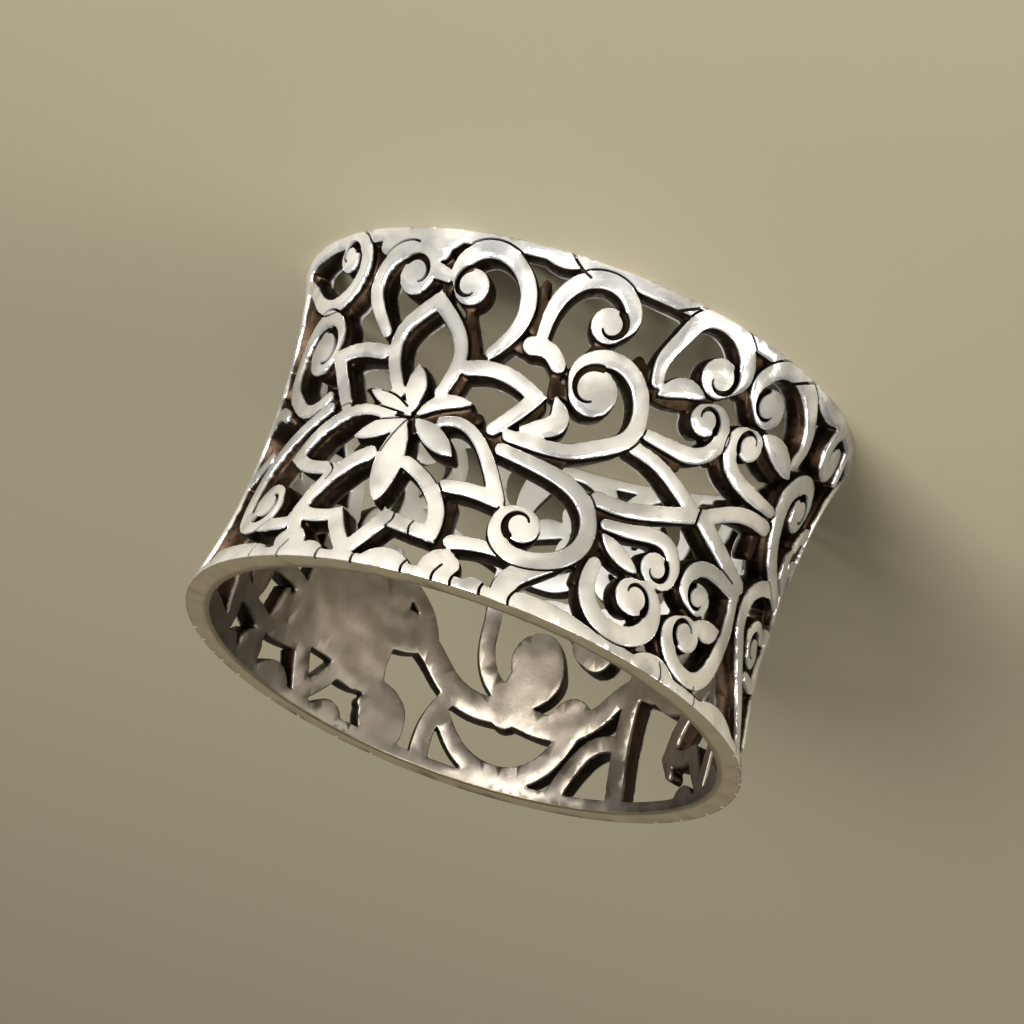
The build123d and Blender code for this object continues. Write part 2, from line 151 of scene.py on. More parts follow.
# Around is measured from the flower's heart in the next four tables.
petals = (
    Strand(((-2.5, 19.5), (-6.5, 24), (-9.5, 29), (-9.8, 34), (-8.3, 40), (-5.2, 46.5)), 1.0, 0.8),
    Strand(((-2.5, 19.5), (1.5, 24), (4.7, 29), (6.0, 34), (5.7, 39), (4.5, 45.2)), 1.0, 0.84),
    Strand(((8.6, 36.8), (14, 35.8), (20, 37.3), (24.4, 40.0)), 1.0, 1.0),
    Strand(((24.4, 40.0), (22, 45.2), (18.0, 52.0)), 1.0, 0.84),
    Strand(((7.0, 53.2), (10.8, 52.6), (15.5, 55.6), (19.5, 61.5), (22.4, 67.5), (24.0, 71.3)),
           0.6, 1.0),
    Strand(((24.0, 71.4), (18.0, 70.8), (12.8, 71.3)), 1.0, 0.84),
    Strand(((2.8, 66.8), (7.0, 69.8), (11.0, 74.5), (13.6, 81), (13.8, 86.4)), 0.84, 1.1),
    Strand(((13.8, 86.4), (9.0, 85.6), (3.6, 84.2)), 1.0, 1.05),
    Strand(((3.6, 84.2), (1.0, 90), (-1.8, 96.2)), 1.1, 1.0),
    Strand(((-7.8, 85.3), (-5.2, 91), (-1.8, 96.2)), 1.0, 1.0),
    Strand(((-7.8, 85.2), (-13, 85.9), (-18.2, 84.4)), 0.8, 0.96),
    Strand(((-18.2, 84.4), (-16.6, 78), (-13.2, 72), (-9.6, 67.6), (-6.6, 65.5)), 1.0, 1.05),
    Strand(((-27.0, 66.5), (-22.5, 69.6), (-17.5, 70.5), (-13.2, 71.2)), 0.9, 0.9),
    Strand(((-27.0, 66.5), (-24.2, 60.4), (-19.5, 55.5), (-13.5, 52.4), (-5.2, 53.6)), 0.96, 0.6),
    Strand(((-26.0, 35.9), (-22.5, 43), (-18.2, 51.0)), 1.0, 0.8),
    Strand(((-26.0, 35.7), (-19.5, 34.3), (-12.8, 35.0)), 0.9, 1.0),
)
lobes = (
    Leaf(((-0.4, 51.0), (-1.6, 44), (-2.4, 38.6)), 1.5),
    Leaf(((1.2, 52.2), (4.0, 48.8), (11.6, 46.6)), 0.95),
    Leaf(((1.5, 54.2), (5.4, 57.4), (11.4, 62.2)), 1.45),
    Leaf(((-1.0, 55.8), (-1.4, 64), (-0.6, 79)), 2.1),
    Leaf(((-0.8, 54.8), (-6.4, 57.3), (-11.8, 60.6)), 1.25),
    Leaf(((-0.8, 52.6), (-6.2, 49.4), (-12.0, 46.6)), 1.0),
)
# The two scrolls that crown a flower, their bridges, and the swell of the rim at its foot.
crown = (
    Scroll(((-13.6, 29.2), (-16.8, 24)), (-9.6, 13.0), 1.35, 3.6, 165, 135, 1.0),
    Scroll(((12.2, 31.4), (15.6, 24.5)), (3.8, 14.6), 1.25, 4.4, 5, -190, 1.04),
    Strand(((-19, 4.6), (-12, 3.0), (-5, 5.6)), 1.2, 1.4),
    Strand(((-7, 10.5), (-2, 12.4)), 1.2, 0.8),
    Leaf(((2.0, 98.6), (7.0, 96.4), (13.0, 98.6)), 1.5),
    Leaf(((-14.0, 98.8), (-10.0, 97.0), (-6.0, 98.8)), 1.3),
)
flower_ties = (
    Tie(((-2.4, 52.4), (2.4, 53.2)), 2.2),
    Tie(((-2.5, 14), (-2.5, 17)), 0.9),
    Tie(((-7, 9), (-1, 9)), 1.0),
    Tie(((-13, 30), (-11, 33)), 0.9),
    Tie(((11.5, 32), (11, 35)), 0.9),
    Tie(((3.5, 19), (6, 25), (9, 33)), 0.7),
    Tie(((7.6, 37), (6.8, 43), (5, 47)), 0.7),
    Tie(((6, 49.5), (14, 49.5)), 0.8),
    Tie(((17, 53.5), (21, 53.5)), 1.4),
    Tie(((12, 71), (13, 72)), 0.8),
    Tie(((24.8, 72.4), (26, 73.5)), 0.9),
    Tie(((15.6, 76), (16.2, 84), (16.8, 90)), 0.8),
    Tie(((-19.5, 85), (-17, 90)), 0.8),
)

# Around is measured from the front from here on.
scrolls = (
    Scroll(((-9.6, 23.2), (-9.4, 16)), (2.4, 15.0), 1.2, 3.5, -140, 165, 1.0),
    Strand(((-11.0, 26.6), (-7.4, 26.6), (-4.6, 29.6)), 1.2, 1.0),
    Leaf(((-2.6, 38.6), (-0.6, 44.0), (-7.4, 49.7)), 1.4),
    Scroll(((-9.4, 52.6), (-2.5, 52.6), (4, 51.0), (9, 47.3)), (4.0, 33.4),
           1.7, 4.1, 28, -222, 1.08),
    Leaf(((-15, 1.2), (-10, 2.0), (-5, 1.0)), 1.0),
    Strand(((6, 2.0), (17, 2.0)), 0.8, 0.8),
)
low_scroll = (
    Scroll(((-9.8, 56.9), (-3, 58.0), (4, 59.4), (9.6, 62.8), (12.6, 69), (12.2, 76), (8.8, 81.5)),
           (-0.3, 76.0), 1.25, 2.8, 48, 215, 1.12),
    Strand(((8.8, 81.8), (3.6, 88), (0.6, 93.5), (0.6, 97.6)), 1.2, 1.5),
    Strand(((1.5, 86.6), (-5.5, 85.6), (-12.4, 87.0)), 0.5, 1.0),
    Strand(((4.6, 97.2), (12, 97.0), (19.6, 98.4)), 1.3, 0.9),
)
rim_curl = (
    Scroll(((-9.0, 98.2), (-13.0, 98.0)), (-11.4, 94.2), 0.8, 1.5, 150, 140, 0.84),
    Leaf(((-8.0, 98.8), (-5.0, 97.6), (-2.0, 98.8)), 1.1),
)
scroll_ties = (
    Tie(((-12.4, 9), (-11.6, 22)), 0.7),
    Tie(((-13.6, 27), (-10.5, 27)), 0.9),
    Tie(((-4.6, 30), (-3.8, 37)), 0.8),
    Tie(((-4, 34), (-1, 36)), 0.8),
    Tie(((2.5, 18), (3, 23)), 0.8),
    Tie(((1.5, 21), (-1.8, 30)), 0.6),
    Tie(((-5, 41), (-7, 49)), 0.7),
    Tie(((-11, 54.5), (3, 54.5)), 0.7),
    Tie(((13, 59), (15, 66)), 0.8),
    Tie(((15.2, 66), (15.6, 76)), 0.7),
    Tie(((14.6, 76), (14, 84)), 0.7),
    Tie(((11, 20), (16.4, 25.5)), 0.8),
)
# The group between two scroll pairs. Its halves face each other across its axis.
left_half = (
    Scroll(((15.8, 23.6), (15.3, 18.0), (17.2, 10.5)), (28.0, 14.8), 1.35, 4.1, -132, 165, 1.08),
    Leaf(((17.2, 26.3), (21.6, 21.8), (26.4, 21.6)), 1.3),
    Scroll(((18.2, 38.0), (23.5, 38.0)), (28.8, 26.6), 1.1, 2.75, 92, -190, 1.04),
    Strand(((16.4, 43.0), (22, 44.0), (27.5, 46.6), (35.2, 51.2)), 0.8, 1.0),
    Strand(((35.2, 51.2), (29.5, 54.6), (24, 57.6), (19, 59.8), (12.6, 60.6)), 1.0, 1.0),
    Scroll(((16.0, 66.2), (22, 64.7), (27.5, 62.6)), (29.4, 71.0), 1.1, 2.1, -72, 165, 1.0),
    Leaf(((16.2, 69.4), (20.0, 72.0), (25.2, 74.8)), 1.1),
    Scroll(((16.2, 78.2), (15.9, 84.0), (17.9, 90.2)), (26.2, 81.6), 1.3, 3.4, 115, -200, 1.3),
    Leaf(((29, 98.8), (35.2, 96.6), (41, 98.8)), 1.5),
)
right_half = (
    Scroll(((56.9, 20.6), (57.6, 14), (54.8, 8)), (42.3, 14), 1.35, 3.8, -46, -165, 1.08),
    Leaf(((44.4, 20.6), (50.6, 21.6), (56.8, 24.6)), 1.55),
    Scroll(((56.2, 35.6), (50, 36.1)), (41.8, 25.4), 1.1, 2.85, 71, 170, 1.04),
    Strand(((37, 50.6), (41.5, 46.6), (47.5, 42.6), (56.6, 40.4)), 1.0, 1.0),
    Strand(((37, 50.6), (41.6, 53.6), (47.6, 56.8), (54.4, 59.6)), 1.2, 1.1),
    Scroll(((54.4, 62.8), (49.6, 62.3)), (42.6, 71.4), 1.1, 2.55, -74, -165, 1.0),
    Leaf(((43.4, 77.8), (47.6, 77.6), (51.2, 75.0)), 1.5),
    Scroll(((54.0, 63.5), (54.7, 72), (53.2, 80.5), (50.6, 88.0)), (41.6, 82.4),
           1.25, 3.2, 59, 170, 1.12),
    Leaf(((48, 98.6), (56, 96.6), (67, 98.6)), 1.3),
    Leaf(((53, 1.0), (59.5, 2.2), (66, 1.0)), 1.2),
)
half_ties = (
    Tie(((17, 27), (22, 26.4), (26, 24)), 0.6),
    Tie(((28.5, 19.5), (28.5, 22)), 0.9),
    Tie(((16.8, 39.6), (27.5, 41.6)), 0.6),
    Tie(((14.5, 63.2), (26, 60.8)), 0.6),
    Tie(((16, 67), (16.4, 69)), 0.9),
    Tie(((25.5, 73), (27, 75)), 0.9),
    Tie(((29.5, 75), (29.5, 77.5)), 0.9),
    Tie(((21, 96), (31, 98)), 0.7),
)
axis_ties = (
    Tie(((35.6, 3), (35.6, 14)), 0.9),
    Tie(((35.7, 27), (35.7, 34)), 0.9),
    Tie(((35.6, 50), (38, 50)), 1.0),
    Tie(((35.5, 66), (36, 71)), 0.9),
    Tie(((33.6, 84), (35.5, 88)), 0.9),
)
left_scrolls = (
    Scroll(((-86, 6.5), (-79, 10.5), (-72.5, 16.5), (-66, 19.4)), (-62.0, 6.4),
           1.0, 2.6, 62, -220, 1.0),
    Scroll(((-56, 48), (-59.5, 51.0), (-63.8, 51.0), (-68.8, 47.3)), (-63.8, 33.4),
           1.7, 4.1, 152, 222, 1.08),
    Scroll(((-54, 51.5), (-60, 56.6), (-65.4, 62.6), (-68.8, 69.6)), (-60.8, 80.6),
           1.45, 2.9, 185, -190, 1.0),
    Strand(((-66, 85), (-60, 88.2), (-51.6, 88.4)), 0.9, 0.9),
    Strand(((-71, 96.6), (-64, 96.8), (-56.4, 97.4)), 1.2, 1.2),
    Strand(((-49.5, 86), (-46.5, 93)), 0.9, 0.9),
    Leaf(((-40, 0.6), (-35, 3.4), (-31, 1.0)), 1.0),
)
right_scrolls = (
    Scroll(((78, 50.4), (71, 48.8), (64.8, 44.6)), (68.3, 28.6), 1.25, 3.3, 138, 235, 1.4),
    Strand(((72, 50.2), (65, 53.4), (60.6, 58.5), (59.4, 65.5), (62.2, 74), (66.4, 82.4),
            (70, 90.5), (71.6, 97.0)), 1.0, 1.2),
    Scroll(((84, 58.5), (78.5, 60.2)), (69.4, 69.6), 1.2, 2.2, -50, -140, 1.0),
    Strand(((69, 77.6), (75, 76.6), (82, 72)), 0.8, 1.1),
    Scroll(((81.6, 9.5), (78.6, 4.2)), (71.8, 8.8), 0.85, 2.5, -55, -335, 1.0),
    Strand(((82.0, 27.5), (78.4, 29.5), (76.2, 33.5)), 1.1, 1.0),
    Leaf(((75, 36), (73.6, 41.0), (80, 46.0)), 1.3),
)
side_ties = (
    Tie(((-56, 48), (-52, 51)), 1.0),
    Tie(((-52.6, 3), (-52.6, 12)), 0.9),
    Tie(((-62, 21.5), (-66, 23)), 0.9),
    Tie(((57.5, 30), (57.5, 48)), 0.9),
    Tie(((56, 60), (58, 64)), 1.0),
)
# The hidden back, between the flowers on both sides of it.
back_scrolls = (
    Scroll(((180.0, 3.0), (181.5, 16), (179.6, 30), (180.2, 42), (179.0, 52)),
           (165.2, 61.4), 2.0, 4.4, 0, 200, 1.0),
    Strand(((131, 66), (138.5, 65), (144, 71.5), (150, 77.5), (158, 79.4), (167, 77.6)), 1.2, 1.5),
    Strand(((167, 77.6), (176, 78.6), (184, 75.0), (190, 69.0), (198, 64.0)), 1.5, 1.5),
    Strand(((167.4, 66), (168.6, 78)), 1.6, 2.2),
    Leaf(((147.5, 75.4), (152.5, 75.4), (157.5, 76.4)), 2.6),
    Strand(((137.4, 63), (137.4, 80), (136.2, 97.5)), 1.1, 1.3),
    Strand(((138.0, 81.0), (144.4, 82.2), (149.2, 89), (152.4, 97.4)), 0.8, 1.0),
    Strand(((152.0, 80.6), (155.4, 88.4), (160.5, 94.0), (169.5, 95.6), (177, 91.6), (182.4, 84.4)),
           1.4, 0.8),
    Strand(((182.0, 78), (184.6, 86), (184.4, 97.6)), 1.0, 1.1),
    Leaf(((190.6, 98.4), (195.6, 91.0), (199.0, 83.0)), 3.4),
    Scroll(((138.4, 64), (138.2, 55.0)), (151.0, 55.0), 1.4, 3.9, -150, 200, 1.0),
    Strand(((146, 43.4), (154, 45.2), (161, 43.0)), 0.8, 0.8),
    Strand(((180.0, 43.0), (172.0, 46.8), (163.8, 45.2), (158.6, 50.4)), 0.8, 1.0),
    Strand(((131.5, 3), (129.6, 14), (131.4, 25), (135.0, 33.4), (139.0, 45.0)), 1.0, 0.9),
    Strand(((128.5, 44.4), (134, 49.6), (138.4, 57.4)), 0.9, 0.9),
    Strand(((181.4, 23), (186.0, 20), (188.6, 12), (187.0, 2.0)), 0.9, 1.0),
    Strand(((180.4, 37), (186.4, 35.0), (192.0, 37.0)), 0.9, 0.9),
    Strand(((268.4, 56.0), (273.4, 50.0), (270.4, 41.0), (262.6, 37.0)), 0.9, 1.0),
    Strand(((273.4, 50.0), (280.4, 47.6), (287.4, 50.4)), 1.0, 0.8),
    Strand(((266.0, 76.0), (272.6, 68.6), (281.0, 67.6), (288.6, 64.0)), 1.0, 0.9),
    Strand(((273.0, 68.4), (270.8, 58.6), (273.4, 50.0)), 0.9, 0.9),
    Strand(((276.6, 68.2), (279.4, 80.0), (273.6, 97.4)), 1.0, 1.2),
    Strand(((262.0, 22.0), (267.6, 28.0), (272.6, 20.0), (273.6, 3.0)), 0.9, 1.1),
    Strand(((267.2, 27.6), (268.4, 34.4), (264.0, 38.0)), 0.9, 0.9),
)
# The bare plate on the back
plate_from = 199.0
plate_to = 229.0
plate_low = 55.0
plate_high = 84.0

# The mirror lines of the group and of the rim's curls, where the flowers' hearts are, and how far
# the back's groups are turned from the front's
group_axis = 35.7
low_axis = -29.9
flower_at = -31.0
mirrored_flower_at = 102.4
back_flower_at = 218.0
back_group_shift = 124.3
back_scrolls_shift = 249.0


def moved(rows, place, flip):
    """The rows with each of their places moved, wound the other way where they are flipped."""
    result = []
    for row in rows:
        if isinstance(row, Scroll):
            start, turn = (180 - row.start, -row.turn) if flip else (row.start, row.turn)
            result.append(row._replace(tail=tuple(place(p) for p in row.tail), eye=place(row.eye),
                                       start=start, turn=turn))
        else:
            result.append(row._replace(route=tuple(place(p) for p in row.route)))
    return result


def turned(rows, shift):
    """The rows moved around the band by an angle."""
    return moved(rows, lambda p: (p[0] + shift, p[1]), False)


def mirrored(rows, axis):
    """The rows mirrored about an axis, given by its place around the band."""
    return moved(rows, lambda p: (2 * axis - p[0], p[1]), True)


def ornament():
    """Every stroke and tie of the band, in degrees around from the front."""
    flower = petals + lobes + crown + flower_ties
    pair = scrolls + low_scroll + rim_curl + scroll_ties
    rows = turned(flower, flower_at)
    rows += turned(mirrored(flower, 0), mirrored_flower_at)
    rows += turned(flower, back_flower_at)
    rows += pair + left_half + right_half + half_ties + axis_ties
    rows += mirrored(half_ties, group_axis)
    rows += left_scrolls + right_scrolls + side_ties
    rows += mirrored(rim_curl, low_axis)
    rows += back_scrolls
    rows += turned(left_half[:3], back_group_shift)
    rows += mirrored(turned(left_half[:3], back_group_shift), group_axis + back_group_shift)
    rows += turned(pair, back_scrolls_shift)
    return rows


# A parting is a narrow groove across the relief. Its width is a share of groove_width.
Parting = namedtuple("Parting", "route width")
# Around is measured from the flower's heart in the next table and in notch_places.
flower_partings = (
    Parting(((-12.0, 50.2), (-6.2, 51.7), (-2.2, 52.8)), 1.0),
    Parting(((-11.0, 55.6), (-6.4, 55.0), (-1.6, 53.9)), 1.0),
    Parting(((-9.4, 46.4), (-5.6, 47.7), (-1.8, 50.6)), 1.0),
    Parting(((-4.0, 64.6), (-2.6, 59.0), (-0.6, 54.4)), 1.0),
    Parting(((1.2, 44.4), (0.9, 48.0), (0.4, 51.6)), 1.0),
    Parting(((8.4, 51.0), (4.4, 52.1), (0.8, 53.2)), 1.0),
    Parting(((4.6, 62.8), (2.4, 58.6), (0.4, 54.6)), 1.0),
    Parting(((-21.4, 53.0), (-17.5, 50.8), (-13.5, 50.0)), 0.9),
    Parting(((-15.6, 69.2), (-13.9, 71.4), (-14.6, 74.4)), 0.9),
    Parting(((13.9, 74.8), (11.3, 70.6), (10.4, 68.2)), 0.9),
    Parting(((10.2, 83.0), (9.4, 85.6), (9.8, 88.0)), 0.9),
    Parting(((5.0, 81.9), (5.4, 84.4), (4.4, 86.8)), 0.9),
)
notch_places = (-25.0, -16.9, -7.1, 0.9, 11.4, 17.7, 21.4, 27.2, 33.0)
# A notch leans by this many degrees, and runs between these heights.
notch_lean = 1.0
notch_heights = (94.6, 98.0, 101.0)
notch_width = 1.1
# The crossing of the lens-shaped outlines, three strokes at the far rim, and two more notches
group_partings = (
    Parting(((36.3, 46.4), (35.7, 51.0), (36.2, 56.0)), 1.7),
    Parting(((-9.4, -1.0), (-7.4, 2.0), (-4.2, 4.6)), 1.2),
    Parting(((13.0, 5.0), (16.6, 2.2), (20.4, -1.0)), 1.2),
    Parting(((43.6, 5.4), (47.2, 2.2), (51.2, -1.0)), 1.2),
)
group_notches = (
    Parting(((36.0, 95.0), (36.8, 98.0), (36.2, 101.0)), 1.0),
    Parting(((46.6, 94.6), (47.4, 98.0), (46.8, 101.0)), 1.0),
)


def partings():
    """The partings of all the flowers and groups, as rows in degrees around from the front."""
    rows = turned(flower_partings, flower_at)
    rows += turned(mirrored(flower_partings, 0), mirrored_flower_at)
    rows += turned(flower_partings, back_flower_at)
    return rows + list(group_partings)


def rim_notches():
    """The short slanting nicks in the near rim's edge, where the ornament runs onto it."""
    inner, middle, outer = notch_heights
    rows = [Parting(((at + notch_lean, inner), (at, middle), (at + notch_lean / 2, outer)),
                    notch_width) for at in notch_places]
    return (turned(rows, flower_at) + turned(mirrored(rows, 0), mirrored_flower_at)
            + turned(rows, back_flower_at) + list(group_notches))


def chart(place):
    """A place of the tables on the flat chart."""
    return np.array([math.radians(place[0]) * chart_radius, place[1] / 100 * band_width])


def smooth_route(points, spacing):
    """A natural cubic curve through the points, as evenly spaced points."""
    points = np.array(points)
    knots = np.r_[0, np.cumsum(np.hypot(*np.diff(points, axis=0).T))]
    count = max(4, int(knots[-1] / spacing) + 1)
    at = np.linspace(0, knots[-1], count)
    if len(points) == 2:
        return points[0] + (points[1] - points[0]) * (at / knots[-1])[:, None]
    gaps = np.diff(knots)
    size = len(points)
    system, slopes = np.eye(size), np.zeros((size, 2))
    for i in range(1, size - 1):
        system[i, i - 1:i + 2] = gaps[i - 1], 2 * (gaps[i - 1] + gaps[i]), gaps[i]
        ahead, behind = points[i + 1] - points[i], points[i] - points[i - 1]
        slopes[i] = 6 * (ahead / gaps[i] - behind / gaps[i - 1])
    bends = np.linalg.solve(system, slopes)
    i = np.clip(np.searchsorted(knots, at, side="right") - 1, 0, size - 2)
    left, right = (at - knots[i])[:, None], (knots[i + 1] - at)[:, None]
    gap = gaps[i][:, None]
    return ((bends[i] * right ** 3 + bends[i + 1] * left ** 3) / (6 * gap)
            + (points[i] / gap - bends[i] * gap / 6) * right
            + (points[i + 1] / gap - bends[i + 1] * gap / 6) * left)


def round_ended(centre, half):
    """The centre line and half widths of a ribbon, with a round cap added at each end."""
    turn = np.radians([85, 65, 45, 22])
    first = (centre[0] - centre[1]) / np.linalg.norm(centre[0] - centre[1])
    last = (centre[-1] - centre[-2]) / np.linalg.norm(centre[-1] - centre[-2])
    start = centre[0] + first * half[0] * np.sin(turn)[:, None]
    end = centre[-1] + last * half[-1] * np.sin(turn[::-1])[:, None]
    return (np.vstack([start, centre, end]),
            np.r_[half[0] * np.cos(turn), half, half[-1] * np.cos(turn[::-1])])


def disc(middle, radius):
    """A round button, as a ribbon that is as wide as it is long."""
    turn = np.radians([-85, -65, -45, -22, 0, 22, 45, 65, 85])
    centre = middle + np.array([1.0, 0.0]) * radius * np.sin(turn)[:, None]
    return centre, radius * np.cos(turn)


def ribbons_of(row, grow):
    """A row's ribbons on the flat chart, grown on each side: (centre line, half widths)."""
    if isinstance(row, Scroll):
        eye = chart(row.eye)
        width = row.width * stroke_width
        last = row.ball * stroke_width - width / 2
        steps = max(3, int(abs(row.turn) / winding_step))
        points = [chart(place) for place in row.tail]
        for step in range(steps + 1):
            share = step / steps
            angle = math.radians(row.start + row.turn * share)
            away = row.reach * stroke_width * (1 - share) + last * share
            points.append(eye + np.array([math.cos(angle), math.sin(angle)]) * away)
        centre = smooth_route(points, path_spacing)
        share = np.linspace(0, 1, len(centre))
        widths = np.minimum(width * np.minimum(1, start_share + widening * share) + 2 * grow,
                            winding_share * last + free_share * stroke_width * (1 - share))
        return [round_ended(centre, widths / 2), disc(eye, row.ball * stroke_width + grow)]
    centre = smooth_route([chart(place) for place in row.route], path_spacing)
    share = np.linspace(0, 1, len(centre))
    if isinstance(row, Leaf):
        swell = np.maximum(np.sin(math.pi * share), leaf_end) ** leaf_fullness
        widths = row.belly * stroke_width * swell + 2 * grow
    elif isinstance(row, Tie):
        widths = np.full(len(centre), row.width * stroke_width)
    else:
        widths = (row.start + (row.end - row.start) * share) * stroke_width + 2 * grow
    return [round_ended(centre, widths / 2)]


def tips_of(rows):
    """A short tapering ribbon outward from each corner where two strands end on each other."""
    ends = []
    for row in rows:
        if isinstance(row, Strand):
            centre = smooth_route([chart(place) for place in row.route], path_spacing)
            for here, back, width in ((centre[0], centre[1], row.start),
                                      (centre[-1], centre[-2], row.end)):
                out = (here - back) / np.linalg.norm(here - back)
                ends.append((here, out, width * stroke_width / 2))
    tips = []
    for i, (here, out, half) in enumerate(ends):
        for there, other, other_half in ends[i + 1:]:
            if np.linalg.norm(here - there) < meeting_room and out @ other > cut_off_corner:
                ahead = (out + other) / np.linalg.norm(out + other)
                reach = tip_reach * (half + other_half)
                share = np.linspace(0, 1, tip_points)
                centre = (here + there) / 2 + ahead * (share * reach)[:, None]
                tips.append((centre, (half + other_half) / 2 * (tip_width * (1 - share) + tip_end)))
    return tips


def slit_of(row):
    """The hooked slit that runs on from a scroll's open inside and curls into its eye."""
    ball, width = row.ball * stroke_width, row.width * stroke_width
    reach = row.reach * stroke_width
    closes = max(0.0, (reach - ball - width / 2) / (reach - ball + width / 2))
    share = np.linspace(0, 1, slit_points)
    angle = np.radians(row.start + row.turn * closes
                       + np.sign(row.turn) * (slit_turn * share - slit_lead))
    away = ball * (slit_outside - slit_dive * share ** slit_curl)
    centre = chart(row.eye) + np.stack([np.cos(angle) * away, np.sin(angle) * away], axis=1)
    return round_ended(centre, slit_width / 2 * (slit_start - slit_narrows * share))


def grooves_of(row):
    """The grooves along a scroll's outer side, which part it from the strokes that it touches."""
    centre, half = ribbons_of(row, growth)[0]
    length = np.r_[0, np.cumsum(np.hypot(*np.diff(centre, axis=0).T))]
    along = np.gradient(centre, axis=0)
    along /= np.hypot(*along.T)[:, None]
    aside = np.stack([along[:, 1], -along[:, 0]], axis=1) * np.sign(row.turn)
    line = centre + aside * (half + groove_width / 2)[:, None]
    kept = (length > groove_from) & (length < length[-1] - groove_short)
    kept &= np.abs(line[:, 1] - band_width / 2) < band_width / 2 + groove_width
    runs = np.split(line, np.flatnonzero(~kept))
    return [round_ended(run[1:], np.full(len(run) - 1, groove_width / 2))
            for run in runs if len(run) > fewest_groove_points]


def parting_of(row):
    """The ribbon that cuts a parting or a notch."""
    centre = smooth_route([chart(place) for place in row.route], path_spacing)
    return round_ended(centre, np.full(len(centre), row.width * groove_width / 2))


def room_between(one, other):
    """The shortest distance between the centre lines of two ribbons."""
    return np.hypot(*(one[0][:, None] - other[0][None]).reshape(-1, 2).T).min()


def sets_apart(ribbons):
    """The ribbons shared out into sets in which none comes near another."""
    sets = []
    for ribbon in ribbons:
        for found in sets:
            if all(room_between(ribbon, other) > cut_room * groove_width for other in found):
                found.append(ribbon)
                break
        else:
            sets.append([ribbon])
    return sets


def path_object(name, ribbons):
    """Bare chains of edges, one for each ribbon, with the half width kept at each point."""
    points, edges, halves = [], [], []
    for centre, half in ribbons:
        first = len(points)
        points += [(x, y, 0.0) for x, y in centre]
        edges += [(first + i, first + i + 1) for i in range(len(centre) - 1)]
        halves += list(half)
    mesh = bpy.data.meshes.new(name)
    mesh.from_pydata(points, edges, [])
    mesh.attributes.new("half_width", "FLOAT", "POINT").data.foreach_set("value", halves)
    return in_scene(name, mesh)


class TreeMaker:
    """Adds nodes to a tree and joins them, with plain numbers taken as constants."""

    def __init__(self, tree):
        self.tree = tree

    def add(self, kind, **settings):
        node = self.tree.nodes.new(kind)
        for name, value in settings.items():
            setattr(node, name, value)
        return node

    def join(self, value, socket):
        if isinstance(value, bpy.types.NodeSocket):
            self.tree.links.new(value, socket)
        else:
            socket.default_value = value

    def math(self, operation, *values):
        node = self.add("ShaderNodeMath", operation=operation)
        for i, value in enumerate(values):
            self.join(value, node.inputs[i])
        return node.outputs[0]

    def vector_math(self, operation, *values):
        node = self.add("ShaderNodeVectorMath", operation=operation)
        for value, socket in zip(values, node.inputs):
            self.join(value, socket)
        return node.outputs["Value" if operation == "LENGTH" else "Vector"]

    def parts(self, vector):
        node = self.add("ShaderNodeSeparateXYZ")
        self.join(vector, node.inputs[0])
        return node.outputs

    def whole(self, x, y, z):
        node = self.add("ShaderNodeCombineXYZ")
        for value, socket in zip((x, y, z), node.inputs):
            self.join(value, socket)
        return node.outputs[0]

    def spool_radius(self, up, rim, waist):
        """The radius at a height of a surface that is bowed in by waist at the band's middle."""
        half = self.math("MULTIPLY", self.band_width, 0.5)
        squares = self.math("ADD", self.math("MULTIPLY", half, half),
                            self.math("MULTIPLY", waist, waist))
        bow = self.math("DIVIDE", squares, self.math("MULTIPLY", waist, 2.0))
        off = self.math("SUBTRACT", up, half)
        fall = self.math("SQRT", self.math("SUBTRACT", self.math("MULTIPLY", bow, bow),
                                           self.math("MULTIPLY", off, off)))
        return self.math("ADD", self.math("SUBTRACT", rim, waist),
                         self.math("SUBTRACT", bow, fall))


